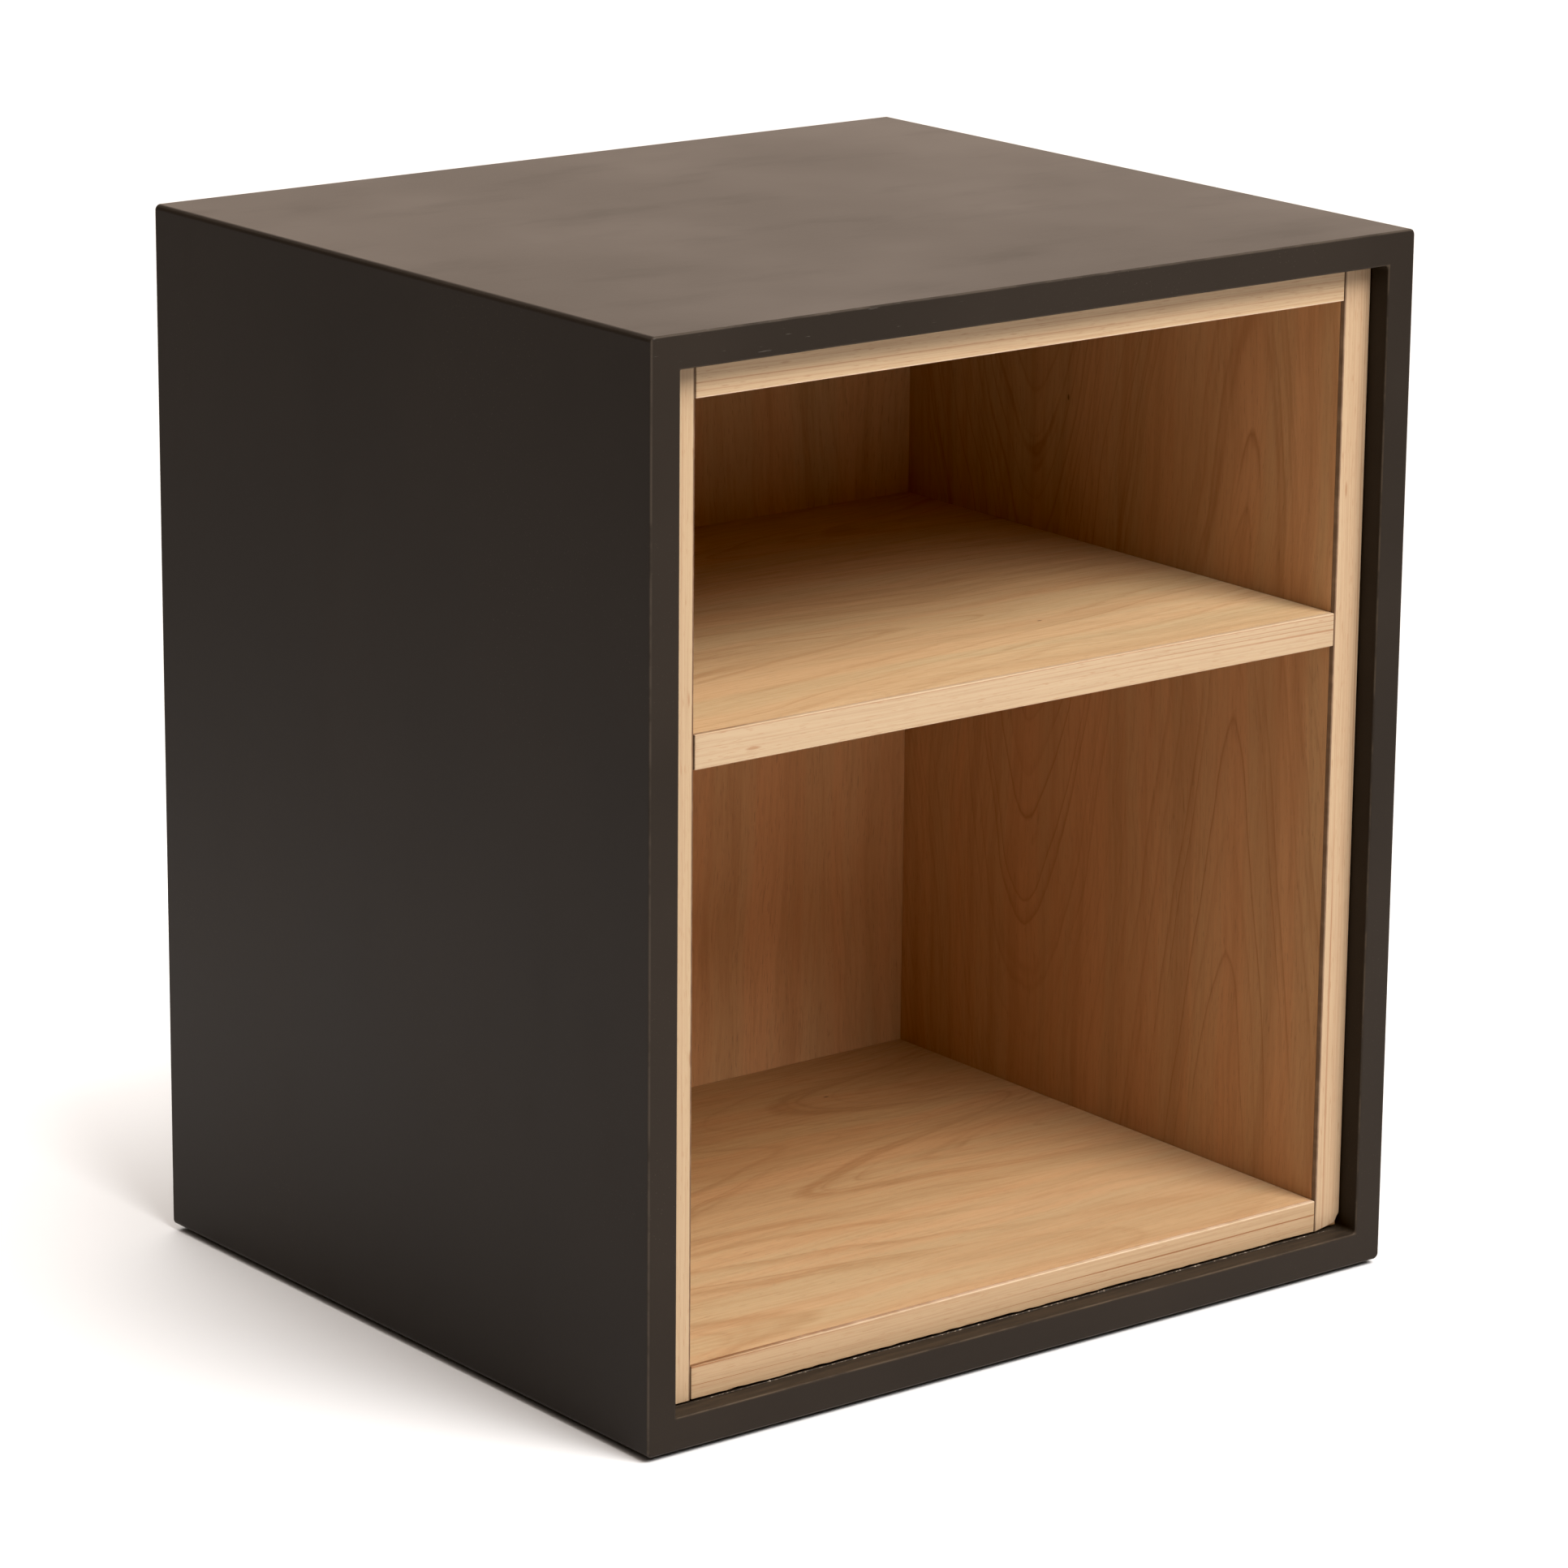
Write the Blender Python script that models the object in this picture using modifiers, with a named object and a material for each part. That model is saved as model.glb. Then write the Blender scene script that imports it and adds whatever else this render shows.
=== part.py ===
"""Open side cabinet: a mitred, painted casing around a lipped, veneered liner with one fixed shelf.

Units are metres. The origin is the centre of the footprint at floor level. The open front faces -Y,
+X is to the right of someone facing the front, and +Z is up.
"""

from math import radians, sqrt

import bmesh
import bpy

NAME = "open_side_cabinet"

# Overall size, board stock and clearances
WIDTH = 0.500
DEPTH = 0.440
CASING_HEIGHT = 0.572
GLIDE_HEIGHT = 0.003
BOARD = 0.018
GAP = 0.0003
CUT_MARGIN = 0.010

# Casing: rounding of the mitred corners and of the long arrises, and the loose tongue in each mitre
CORNER_RADIUS = 0.003
OPENING_RADIUS = 0.002
ARRIS = 0.001
TONGUE_THICKNESS = 0.004
TONGUE_WIDTH = 0.012
TONGUE_STOP = 0.035

# Rear cover, screwed into a rebate in the casing's rear edge
COVER_THICKNESS = 0.006
COVER_INSET = 0.0007
COVER_CLEARANCE = 0.0005
REBATE_LEDGE = 0.010
COVER_SCREW_ROWS = (-0.200, 0.0, 0.200)

# Liner: set back from the casing's front edge, with solid lippings on its front edges
RECESS = 0.013
LINER_CLEARANCE = 0.0005
LINER_UNDER_GAP = 0.001
LIPPING = 0.003
LIPPING_ARRIS = 0.0006
INNER_DEPTH = 0.360
SHELF_TOP_ABOVE_CASING = 0.367
LINER_BACK_THICKNESS = 0.006
LINER_BACK_SCREW_ROWS = (-0.220, 0.0, 0.220)

# Dowels, two in each end of the top, bottom and shelf
DOWEL_RADIUS = 0.004
DOWEL_LENGTH = 0.030
DOWEL_IN_SIDE = 0.011
DOWEL_CHAMFER = 0.001
DOWEL_ROWS = (-0.130, 0.080)

# Countersunk screws: (length, shank radius, head radius, head height)
PANEL_SCREW = (0.016, 0.0015, 0.0030, 0.0020)
LINER_SCREW = (0.030, 0.0020, 0.0040, 0.0026)
SCREW_HEAD_RIM = 0.0003
SCREW_TIP = 0.003
SCREW_SINK = 0.0002
RECESS_SLOT = 0.0007
LINER_SCREW_X = 0.170
LINER_SCREW_ROWS = (-0.150, 0.100)

# Nail-on glides under the four corners
GLIDE_RADIUS = 0.010
GLIDE_EDGE = 0.0008
GLIDE_INSET = 0.030
NAIL_RADIUS = 0.0010
NAIL_LENGTH = 0.014
NAIL_HEAD_RADIUS = 0.0026
NAIL_HEAD_HEIGHT = 0.0008
NAIL_LIFT = 0.0004

TURNING_STEPS = 16
CORNER_SEGMENTS = 4
SIDES = (-1, 1)

# Levels and planes worked out from the sizes above
CASING_BOTTOM = GLIDE_HEIGHT
CASING_TOP = CASING_BOTTOM + CASING_HEIGHT
CASING_MIDDLE = (CASING_BOTTOM + CASING_TOP) / 2
FRONT = -DEPTH / 2
REAR = DEPTH / 2
COVER_REAR = REAR - COVER_INSET
COVER_FRONT = COVER_REAR - COVER_THICKNESS
LINER_HALF_WIDTH = WIDTH / 2 - BOARD - LINER_CLEARANCE
LINER_INNER_X = LINER_HALF_WIDTH - BOARD
LINER_BOTTOM = CASING_BOTTOM + BOARD + LINER_UNDER_GAP
LINER_TOP = CASING_TOP - BOARD - LINER_CLEARANCE
LINER_MIDDLE = (LINER_BOTTOM + LINER_TOP) / 2
LINER_FRONT = FRONT + RECESS
LINER_BODY_FRONT = LINER_FRONT + LIPPING + GAP
LINER_BACK_FRONT = LINER_FRONT + INNER_DEPTH
LINER_BODY_REAR = LINER_BACK_FRONT - GAP
LINER_BACK_REAR = LINER_BACK_FRONT + LINER_BACK_THICKNESS
PANEL_CENTRES = {
    "top": LINER_TOP - BOARD / 2,
    "shelf": CASING_BOTTOM + SHELF_TOP_ABOVE_CASING - BOARD / 2,
    "bottom": LINER_BOTTOM + BOARD / 2,
}

# Directions in which a turned piece's own +Z can point
POINT_UP = (0.0, 0.0, 0.0)
POINT_DOWN = (radians(180), 0.0, 0.0)
POINT_REAR = (radians(-90), 0.0, 0.0)
POINT_RIGHT = (0.0, radians(90), 0.0)


def clear_scene():
    for obj in list(bpy.data.objects):
        bpy.data.objects.remove(obj, do_unlink=True)


def make_collection(name, parent=None):
    collection = bpy.data.collections.new(name)
    (parent or bpy.context.scene.collection).children.link(collection)
    return collection


def make_material(name, colour, roughness, metallic=0.0):
    material = bpy.data.materials.new(name)
    material.use_nodes = True
    shader = material.node_tree.nodes["Principled BSDF"]
    shader.inputs["Base Color"].default_value = (*colour, 1.0)
    shader.inputs["Roughness"].default_value = roughness
    shader.inputs["Metallic"].default_value = metallic
    return material


def place(name, mesh, collection, location=(0.0, 0.0, 0.0), rotation=POINT_UP):
    obj = bpy.data.objects.new(name, mesh)
    obj.location = location
    obj.rotation_euler = rotation
    collection.objects.link(obj)
    return obj


def place_part(name, mesh, material, location, rotation=POINT_UP):
    """A piece of the cabinet: its material sits on the object, so pieces can share one mesh."""
    obj = place(name, mesh, parts, location, rotation)
    obj.parent = frame
    if not mesh.materials:
        mesh.materials.append(None)
    obj.material_slots[0].link = "OBJECT"
    obj.material_slots[0].material = material
    return obj


def place_cutter(name, mesh, collection, location, rotation=POINT_UP):
    obj = place(name, mesh, collection, location, rotation)
    obj.hide_render = True
    obj.display_type = "WIRE"
    return obj


def box_mesh(name, size, corner_radius=0.0):
    """A box about its own centre. corner_radius rounds the four edges that run along Y."""
    shape = bmesh.new()
    bmesh.ops.create_cube(shape, size=1.0)
    bmesh.ops.scale(shape, vec=size, verts=shape.verts)
    if corner_radius:
        along_y = [e for e in shape.edges if abs(e.verts[0].co.y - e.verts[1].co.y) > size[1] / 2]
        bmesh.ops.bevel(
            shape, geom=along_y, offset=corner_radius, segments=CORNER_SEGMENTS, profile=0.5, affect="EDGES"
        )
    mesh = bpy.data.meshes.new(name)
    shape.to_mesh(mesh)
    shape.free()
    return mesh


def wedge_mesh(name, length):
    """A mitred prism with its outer side at the top: it keeps one board of the casing ring.

    Both slopes stand half a gap inside the true mitre planes.
    """
    half = length / 2 - GAP / sqrt(2)
    height = BOARD + 2 * CUT_MARGIN
    shape = bmesh.new()
    bmesh.ops.create_cube(shape, size=1.0)
    for vert in shape.verts:
        at_top = vert.co.z > 0
        reach = half + CUT_MARGIN if at_top else half + CUT_MARGIN - height
        vert.co.x *= 2 * reach
        vert.co.y *= DEPTH + 2 * CUT_MARGIN
        vert.co.z = CUT_MARGIN if at_top else CUT_MARGIN - height
    mesh = bpy.data.meshes.new(name)
    shape.to_mesh(mesh)
    shape.free()
    return mesh


def cylinder_mesh(name, radius, length):
    shape = bmesh.new()
    bmesh.ops.create_cone(
        shape, cap_ends=True, segments=TURNING_STEPS, radius1=radius, radius2=radius, depth=length
    )
    mesh = bpy.data.meshes.new(name)
    shape.to_mesh(mesh)
    shape.free()
    return mesh


def baked_mesh(obj, name):
    """The object's mesh with its modifiers applied. The object itself is removed."""
    graph = bpy.context.evaluated_depsgraph_get()
    mesh = bpy.data.meshes.new_from_object(obj.evaluated_get(graph))
    mesh.name = name
    mesh.materials.clear()
    bpy.data.objects.remove(obj, do_unlink=True)
    return mesh


def turned_object(name, profile, closed_loop=False):
    """A profile of (radius, height) points, top to bottom down the outer side, turned about Z."""
    edges = [(i, i + 1) for i in range(len(profile) - 1)]
    if closed_loop:
        edges.append((len(profile) - 1, 0))
    mesh = bpy.data.meshes.new(name)
    mesh.from_pydata([(radius, 0.0, height) for radius, height in profile], edges, [])
    obj = place(name, mesh, helpers)
    screw = obj.modifiers.new("Turn", "SCREW")
    screw.steps = TURNING_STEPS
    screw.render_steps = TURNING_STEPS
    screw.use_merge_vertices = True
    screw.merge_threshold = 0.00001
    return obj


def turned_mesh(name, profile, closed_loop=False):
    mesh = baked_mesh(turned_object(name, profile, closed_loop), name)
    mesh.shade_smooth()
    mesh.set_sharp_from_angle(angle=radians(30))
    return mesh


def add_boolean(obj, name, operand, operation="DIFFERENCE"):
    modifier = obj.modifiers.new(name, "BOOLEAN")
    modifier.operation = operation
    modifier.solver = "EXACT"
    if isinstance(operand, bpy.types.Collection):
        modifier.operand_type = "COLLECTION"
        modifier.collection = operand
    else:
        modifier.object = operand


def add_bevel(obj, width, segments=2):
    bevel = obj.modifiers.new("Arris", "BEVEL")
    bevel.width = width
    bevel.segments = segments
    bevel.limit_method = "ANGLE"
    bevel.angle_limit = radians(35)


def screw_profile(sizes, clearance=0.0, lead=0.0):
    """A countersunk screw, head at the top. clearance grows it and lead carries the head upwards."""
    length, shank, head, head_height = sizes
    return [
        (0.0, lead),
        (head + clearance, lead),
        (head + clearance, -SCREW_HEAD_RIM),
        (shank + clearance, -head_height),
        (shank + clearance, -(length - SCREW_TIP)),
        (0.0, -(length + clearance)),
    ]


def screw_mesh(name, sizes):
    """A screw with a cross recess in its head."""
    length, shank, head, head_height = sizes
    obj = turned_object(name, screw_profile(sizes))
    slot = box_mesh(name + "_slot", (head * 1.1, RECESS_SLOT, head_height * 1.2))
    slots = [
        place_cutter(f"{name}_slot_{turn}", slot, helpers, (0.0, 0.0, 0.0), (0.0, 0.0, radians(turn)))
        for turn in (0, 90)
    ]
    for cutter in slots:
        add_boolean(obj, "Recess", cutter)
    mesh = baked_mesh(obj, name)
    for cutter in slots:
        bpy.data.objects.remove(cutter, do_unlink=True)
    mesh.shade_smooth()
    mesh.set_sharp_from_angle(angle=radians(30))
    return mesh


def casing_ring():
    """The whole casing as one rounded ring, rebated at the rear, before it is parted at the mitres."""
    inner = (WIDTH - 2 * BOARD, DEPTH + 2 * CUT_MARGIN, CASING_HEIGHT - 2 * BOARD)
    rebate_depth = REAR - COVER_FRONT + GAP
    rebate = (
        inner[0] + 2 * REBATE_LEDGE,
        rebate_depth + CUT_MARGIN,
        inner[2] + 2 * REBATE_LEDGE,
    )
    ring = place("ring", box_mesh("ring", (WIDTH, DEPTH, CASING_HEIGHT), CORNER_RADIUS), helpers)
    opening_cutter = place_cutter(
        "opening_cutter", box_mesh("opening_cutter", inner, OPENING_RADIUS), helpers, (0.0, 0.0, 0.0)
    )
    rebate_y = REAR + (CUT_MARGIN - rebate_depth) / 2
    rebate_cutter = place_cutter(
        "rebate_cutter", box_mesh("rebate_cutter", rebate), helpers, (0.0, rebate_y, 0.0)
    )
    add_boolean(ring, "Opening", opening_cutter)
    add_bevel(ring, ARRIS)
    add_boolean(ring, "Rebate", rebate_cutter)
    mesh = baked_mesh(ring, "casing_ring")
    for cutter in (opening_cutter, rebate_cutter):
        bpy.data.objects.remove(cutter, do_unlink=True)
    return mesh


def make_casing():
    """Four mitred boards: name, length of the outer face, its centre and the way it faces about Y."""
    ring = casing_ring()
    boards = (
        ("casing_top", WIDTH, (0.0, 0.0, CASING_TOP), 0),
        ("casing_bottom", WIDTH, (0.0, 0.0, CASING_BOTTOM), 180),
        ("casing_side_right", CASING_HEIGHT, (WIDTH / 2, 0.0, CASING_MIDDLE), 90),
        ("casing_side_left", CASING_HEIGHT, (-WIDTH / 2, 0.0, CASING_MIDDLE), -90),
    )
    for name, length, centre, facing in boards:
        wedge = place_cutter(
            name + "_wedge", wedge_mesh(name + "_wedge", length), wedges, centre, (0.0, radians(facing), 0.0)
        )
        board = place_part(name, ring, paint, (0.0, 0.0, CASING_MIDDLE))
        add_boolean(board, "Mitre", wedge, "INTERSECT")
        add_boolean(board, "Joinery", joinery)


def make_tongues():
    """A loose tongue across each mitre, stopped short of the front and rear edges."""
    size = (TONGUE_WIDTH, DEPTH - 2 * TONGUE_STOP, TONGUE_THICKNESS)
    tongue = box_mesh("mitre_tongue", size)
    groove = box_mesh("tongue_groove", [side + 2 * GAP for side in size])
    for name, side_x, side_z in (
        ("top_left", -1, 1),
        ("top_right", 1, 1),
        ("bottom_left", -1, -1),
        ("bottom_right", 1, -1),
    ):
        centre = (
            side_x * (WIDTH - BOARD) / 2,
            0.0,
            CASING_MIDDLE + side_z * (CASING_HEIGHT - BOARD) / 2,
        )
        turn = (0.0, radians(45) * side_x * side_z, 0.0)
        place_part("mitre_tongue_" + name, tongue, beech, centre, turn)
        place_cutter("tongue_groove_" + name, groove, joinery, centre, turn)


def make_rear_cover():
    across = WIDTH - 2 * BOARD + 2 * (REBATE_LEDGE - COVER_CLEARANCE)
    height = CASING_HEIGHT - 2 * BOARD + 2 * (REBATE_LEDGE - COVER_CLEARANCE)
    centre_y = (COVER_FRONT + COVER_REAR) / 2
    cover = place_part(
        "rear_cover",
        box_mesh("rear_cover", (across, COVER_THICKNESS, height)),
        cover_paint,
        (0.0, centre_y, CASING_MIDDLE),
    )
    add_boolean(cover, "Joinery", joinery)
    ledge_x = WIDTH / 2 - BOARD + REBATE_LEDGE / 2
    ledge_z = CASING_HEIGHT / 2 - BOARD + REBATE_LEDGE / 2
    places = [(side * ledge_x, row) for side in SIDES for row in COVER_SCREW_ROWS]
    places += [(0.0, side * ledge_z) for side in SIDES]
    for number, (x, z) in enumerate(places, 1):
        location = (x, COVER_REAR - SCREW_SINK, CASING_MIDDLE + z)
        place_part(f"rear_cover_screw_{number}", panel_screw, steel, location, POINT_REAR)
        place_cutter(f"rear_cover_hole_{number}", panel_screw_hole, joinery, location, POINT_REAR)


def make_liner_boards():
    body_depth = LINER_BODY_REAR - LINER_BODY_FRONT
    body_y = (LINER_BODY_FRONT + LINER_BODY_REAR) / 2
    lipping_y = LINER_FRONT + LIPPING / 2
    liner_height = LINER_TOP - LINER_BOTTOM
    panel_width = 2 * (LINER_INNER_X - GAP)
    boards = [
        (f"side_{name}", BOARD, liner_height, side * (LINER_HALF_WIDTH - BOARD / 2), LINER_MIDDLE)
        for name, side in (("left", -1), ("right", 1))
    ]
    boards += [(name, panel_width, BOARD, 0.0, z) for name, z in PANEL_CENTRES.items()]
    for name, width, height, x, z in boards:
        body = place_part(
            "liner_" + name, box_mesh("liner_" + name, (width, body_depth, height)), veneer, (x, body_y, z)
        )
        add_boolean(body, "Joinery", joinery)
        lipping = place_part(
            "lipping_" + name,
            box_mesh("lipping_" + name, (width, LIPPING, height)),
            lipping_wood,
            (x, lipping_y, z),
        )
        add_bevel(lipping, LIPPING_ARRIS)


def make_dowels():
    profile = [
        (0.0, DOWEL_LENGTH / 2),
        (DOWEL_RADIUS - DOWEL_CHAMFER, DOWEL_LENGTH / 2),
        (DOWEL_RADIUS, DOWEL_LENGTH / 2 - DOWEL_CHAMFER),
        (DOWEL_RADIUS, DOWEL_CHAMFER - DOWEL_LENGTH / 2),
        (DOWEL_RADIUS - DOWEL_CHAMFER, -DOWEL_LENGTH / 2),
        (0.0, -DOWEL_LENGTH / 2),
    ]
    dowel = turned_mesh("dowel", profile)
    hole = cylinder_mesh("dowel_hole", DOWEL_RADIUS + GAP, DOWEL_LENGTH + 2 * GAP)
    centre_x = LINER_INNER_X + DOWEL_IN_SIDE - DOWEL_LENGTH / 2
    for panel, z in PANEL_CENTRES.items():
        for side_name, side in (("left", -1), ("right", 1)):
            for row_name, y in zip(("front", "rear"), DOWEL_ROWS):
                location = (side * centre_x, y, z)
                label = f"{panel}_{side_name}_{row_name}"
                place_part("dowel_" + label, dowel, beech, location, POINT_RIGHT)
                place_cutter("dowel_hole_" + label, hole, joinery, location, POINT_RIGHT)


def make_liner_back():
    size = (2 * LINER_HALF_WIDTH, LINER_BACK_THICKNESS, LINER_TOP - LINER_BOTTOM)
    centre_y = (LINER_BACK_FRONT + LINER_BACK_REAR) / 2
    back = place_part("liner_back", box_mesh("liner_back", size), veneer, (0.0, centre_y, LINER_MIDDLE))
    add_boolean(back, "Joinery", joinery)
    places = [(side, row) for side in SIDES for row in LINER_BACK_SCREW_ROWS]
    for number, (side, row) in enumerate(places, 1):
        location = (
            side * (LINER_HALF_WIDTH - BOARD / 2),
            LINER_BACK_REAR - SCREW_SINK,
            LINER_MIDDLE + row,
        )
        place_part(f"liner_back_screw_{number}", panel_screw, steel, location, POINT_REAR)
        place_cutter(f"liner_back_hole_{number}", panel_screw_hole, joinery, location, POINT_REAR)


def make_liner_screws():
    """Screws driven up through the casing bottom hold the liner in the casing."""
    screw = screw_mesh("liner_screw", LINER_SCREW)
    hole = turned_mesh("liner_screw_hole", screw_profile(LINER_SCREW, GAP, CUT_MARGIN / 4))
    places = [(side * LINER_SCREW_X, row) for side in SIDES for row in LINER_SCREW_ROWS]
    for number, (x, y) in enumerate(places, 1):
        location = (x, y, CASING_BOTTOM + SCREW_SINK)
        place_part(f"liner_screw_{number}", screw, steel, location, POINT_DOWN)
        place_cutter(f"liner_screw_hole_{number}", hole, joinery, location, POINT_DOWN)


def make_glides():
    """A plastic disc under each corner, held by a nail whose head sits up in a counterbore."""
    counterbore = NAIL_LIFT + NAIL_HEAD_HEIGHT + GAP
    bore = NAIL_RADIUS + GAP
    head_bore = NAIL_HEAD_RADIUS + GAP
    glide = turned_mesh(
        "glide",
        [
            (bore, GLIDE_HEIGHT - GAP),
            (GLIDE_RADIUS, GLIDE_HEIGHT - GAP),
            (GLIDE_RADIUS, GLIDE_EDGE),
            (GLIDE_RADIUS - GLIDE_EDGE, 0.0),
            (head_bore, 0.0),
            (head_bore, counterbore),
            (bore, counterbore),
        ],
        closed_loop=True,
    )
    nail = turned_mesh(
        "glide_nail",
        [
            (0.0, 0.0),
            (NAIL_HEAD_RADIUS, 0.0),
            (NAIL_HEAD_RADIUS, -NAIL_HEAD_HEIGHT),
            (NAIL_RADIUS, -NAIL_HEAD_HEIGHT),
            (NAIL_RADIUS, NAIL_RADIUS * 2 - NAIL_LENGTH),
            (0.0, -NAIL_LENGTH),
        ],
    )
    hole_top = NAIL_LIFT + NAIL_LENGTH + GAP
    hole_length = hole_top - CASING_BOTTOM + CUT_MARGIN / 4
    hole = cylinder_mesh("nail_hole", bore, hole_length)
    places = [(side_x, side_y) for side_x in SIDES for side_y in SIDES]
    for number, (side_x, side_y) in enumerate(places, 1):
        x = side_x * (WIDTH / 2 - GLIDE_INSET)
        y = side_y * (DEPTH / 2 - GLIDE_INSET)
        place_part(f"glide_{number}", glide, glide_plastic, (x, y, 0.0))
        place_part(f"glide_nail_{number}", nail, steel, (x, y, NAIL_LIFT), POINT_DOWN)
        place_cutter(f"nail_hole_{number}", hole, joinery, (x, y, hole_top - hole_length / 2))


clear_scene()
parts = make_collection(NAME)
cutters = make_collection("cutters")
joinery = make_collection("joinery", cutters)
wedges = make_collection("wedges", cutters)
helpers = make_collection("helpers", cutters)
frame = bpy.data.objects.new("cabinet_frame", None)
parts.objects.link(frame)

paint = make_material("satin_paint", (0.036, 0.028, 0.022), 0.42)
cover_paint = make_material("cover_paint", (0.040, 0.032, 0.026), 0.60)
veneer = make_material("veneer", (0.560, 0.340, 0.160), 0.50)
lipping_wood = make_material("lipping_wood", (0.700, 0.480, 0.290), 0.55)
beech = make_material("beech", (0.620, 0.430, 0.270), 0.60)
steel = make_material("zinc_steel", (0.620, 0.610, 0.580), 0.35, 1.0)
glide_plastic = make_material("glide_plastic", (0.045, 0.041, 0.038), 0.55)

panel_screw = screw_mesh("panel_screw", PANEL_SCREW)
panel_screw_hole = turned_mesh("panel_screw_hole", screw_profile(PANEL_SCREW, GAP, CUT_MARGIN / 4))

make_casing()
make_tongues()
make_rear_cover()
make_liner_boards()
make_dowels()
make_liner_back()
make_liner_screws()
make_glides()
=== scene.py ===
"""Looks for the open side cabinet: a mitred, satin dark brown casing round a pale veneered liner.

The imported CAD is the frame. The liner's boards and the hidden fixings keep their CAD shapes. The casing, the
lippings, the rear cover and its screws are rebuilt with finer edges. Units are metres.
"""

from collections import namedtuple
from math import cos, hypot, pi, radians, sin

import bmesh
import bpy
from mathutils import Matrix, Vector, noise


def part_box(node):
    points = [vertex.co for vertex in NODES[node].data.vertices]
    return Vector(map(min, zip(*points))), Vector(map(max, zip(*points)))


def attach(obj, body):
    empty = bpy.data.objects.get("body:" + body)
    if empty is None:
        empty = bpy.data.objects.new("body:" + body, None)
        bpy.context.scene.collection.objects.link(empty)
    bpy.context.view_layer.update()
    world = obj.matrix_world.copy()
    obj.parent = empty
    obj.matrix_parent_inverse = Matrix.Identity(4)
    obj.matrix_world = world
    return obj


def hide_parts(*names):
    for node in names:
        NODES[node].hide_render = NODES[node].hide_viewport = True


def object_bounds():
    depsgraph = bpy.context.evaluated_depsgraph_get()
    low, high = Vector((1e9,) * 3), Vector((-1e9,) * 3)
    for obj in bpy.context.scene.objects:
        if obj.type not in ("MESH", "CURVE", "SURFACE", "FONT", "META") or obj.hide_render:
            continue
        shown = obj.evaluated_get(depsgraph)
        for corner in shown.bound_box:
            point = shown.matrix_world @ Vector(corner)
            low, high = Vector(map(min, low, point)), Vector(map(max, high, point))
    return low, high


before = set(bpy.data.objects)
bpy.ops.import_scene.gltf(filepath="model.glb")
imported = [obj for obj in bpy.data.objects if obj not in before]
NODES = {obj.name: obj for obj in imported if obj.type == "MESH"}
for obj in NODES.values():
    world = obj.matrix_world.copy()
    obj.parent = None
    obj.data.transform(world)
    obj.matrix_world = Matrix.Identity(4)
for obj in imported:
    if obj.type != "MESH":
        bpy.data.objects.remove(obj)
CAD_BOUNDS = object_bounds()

# Casing: its board, the rounding of its corners and arrises, and the lip beside its rear rebate. The inner
# corners run anticlockwise from the top right one, seen from the front.
BOARD = 0.018
OUTER_CORNER = 0.003
INNER_CORNERS = (0.0028, 0.0010, 0.0010, 0.0022)
FRONT_ARRIS = 0.0012
REAR_ARRIS = 0.0008
REBATE_LIP = 0.008
REBATE_GAP = 0.0003
CORNER_SEGMENTS = 12
ARRIS_SEGMENTS = 4
CASING_BOARDS = ("top", "side_left", "bottom", "side_right")
CASING_LOW = Vector((CAD_BOUNDS[0][0], CAD_BOUNDS[0][1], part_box("casing_bottom")[0][2]))
CASING_HIGH = Vector((CAD_BOUNDS[1][0], CAD_BOUNDS[1][1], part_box("casing_top")[1][2]))

# Lippings: their eased arrises, the length of their short stretches and how far their fronts wander. The gaps
# are those between a level lipping's ends and the uprights, left and right.
LIPPING_ARRIS = 0.0005
LIPPING_STEP = 0.0025
LIPPING_SWELL = 0.00012
LIPPING_SEAM = 0.00002
LIPPING_END_GAPS = {
    "lipping_shelf": (0.0009, 0.0002),
    "lipping_top": (0.0005, 0.0006),
    "lipping_bottom": (0.0006, 0.0003),
}

# Rear cover and its screws
COVER_ARRIS = 0.0006
COVER_SCREWS = 8
SCREW_PROUD = 0.0002
SCREW_TURN = 0.7

# Hardened glue in the joint under the liner
BEAD_STEP = 0.0012
BEAD_SIDES = 7
BEAD_RADIUS = 0.00026
BEAD_TIP = 0.00003
BEAD_REACH = 0.0011
BEAD_SEED = 4.0
BEAD_START = 0.004
BEAD_END = 0.0015

# Camera, matched to the photograph
LENS = 143.57
SENSOR = 36.0
CAMERA_PLACE = Vector((-2.00497, -2.56794, 1.16376))
CAMERA_AZIMUTH = radians(-38.0524)
CAMERA_ELEVATION = radians(15.4307)
CAMERA_ROLL = radians(0.5176)

# Studio: the room, the sun-like key, the soft boxes, the floor and the picture's tones. Glossy faces see the
# floor fade from its own shade to the far one between the two distances of the lit patch.
ROOM_DIM = (0.077, 0.063, 0.052)
OVERHEAD = (0.92, 0.80, 0.71)
OVERHEAD_RISE = (0.42, 0.95)
BACKDROP = (1.05, 1.05, 1.05)
AIM = Vector((0.0, 0.0, 0.35))
KEY_AZIMUTH = radians(10)
KEY_ELEVATION = radians(50)
KEY_ANGLE = radians(38)
KEY_STRENGTH = 3.75
KEY_COLOUR = (1.0, 0.988, 0.978)
SOFT_WHITE = (1.0, 0.985, 0.97)
FILL_PLACE = (0.45, -1.50, 1.75)
FILL_SIZE = (0.9, 0.9)
FILL_POWER = 14.0
PANEL_PLACE = (2.00, 2.45, 1.30)
PANEL_SIZE = (3.4, 2.6)
PANEL_POWER = 49.0
PANEL_COLOUR = (1.0, 0.82, 0.69)
WASH_PLACE = (-0.14, 0.60, 0.40)
WASH_SIZE = (0.70, 0.40)
WASH_POWER = 2.5
FLOOR_SIZE = 30.0
FLOOR_PALE = (0.81, 0.81, 0.815)
FLOOR_DULL = (0.79, 0.79, 0.795)
FLOOR_FAR = (0.46, 0.455, 0.45)
LIT_PATCH = (0.7, 2.4)
BLACK_LEVEL = 0.004
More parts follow.
